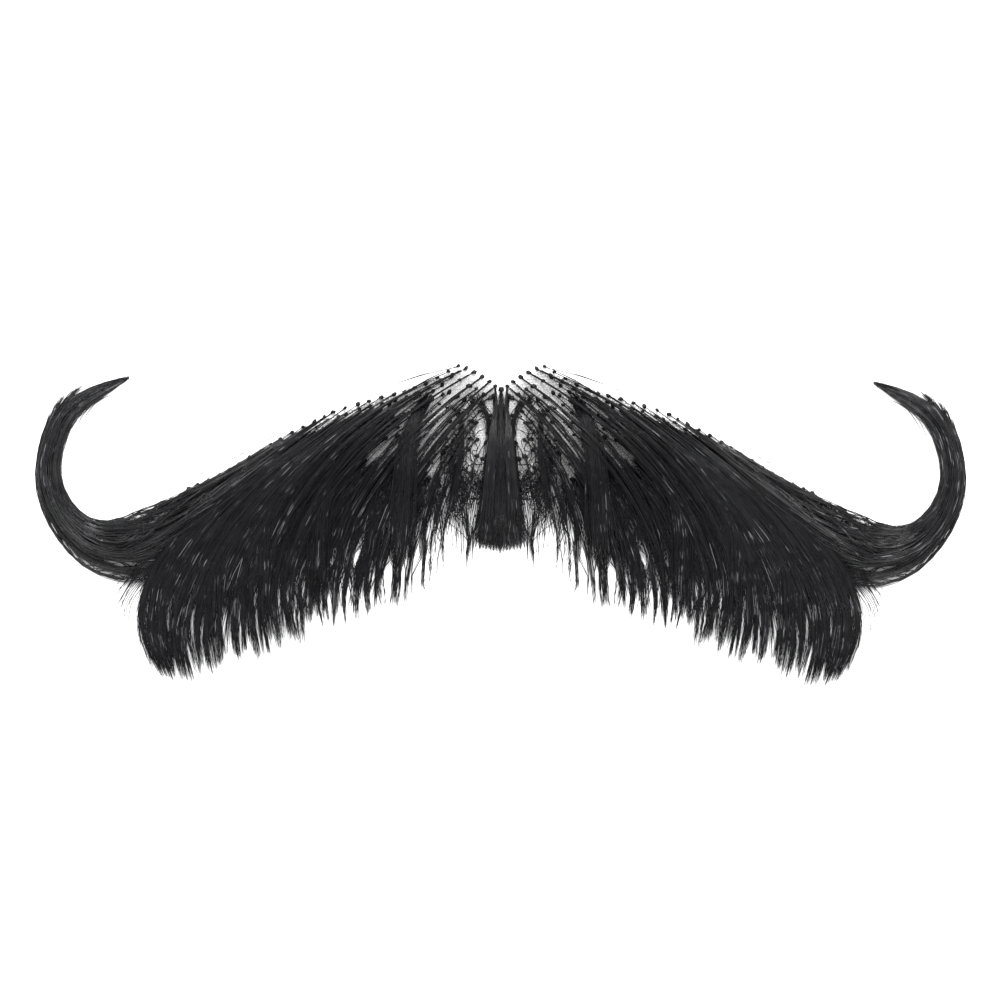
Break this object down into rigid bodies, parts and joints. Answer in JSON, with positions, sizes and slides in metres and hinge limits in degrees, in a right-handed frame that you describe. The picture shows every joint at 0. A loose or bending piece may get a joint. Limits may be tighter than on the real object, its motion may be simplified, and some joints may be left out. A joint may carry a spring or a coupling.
{
  "type": "fake moustache",
  "caption": "Hand-tied black handlebar moustache on a lace base, lying face up, with a trimmed fringe and long curled ends.",
  "frame": {"origin": "on the surface that the moustache lies on, under the middle of its overall size", "axes": "+X along the moustache towards the curl on the picture's right, +Y from the lip side to the nose side, +Z from the lace out through the hair"},
  "size_m": [0.148, 0.0509, 0.0065],
  "materials": {
    "hair": "slightly glossy black human hair",
    "lace": "fine matt net"
  },
  "bodies": {
    "root": {"lace_base": "lace", "centre_tuft": "hair", "right_wing": "hair", "left_wing": "hair", "right_curl": "hair", "left_curl": "hair"}
  },
  "joints": []
}
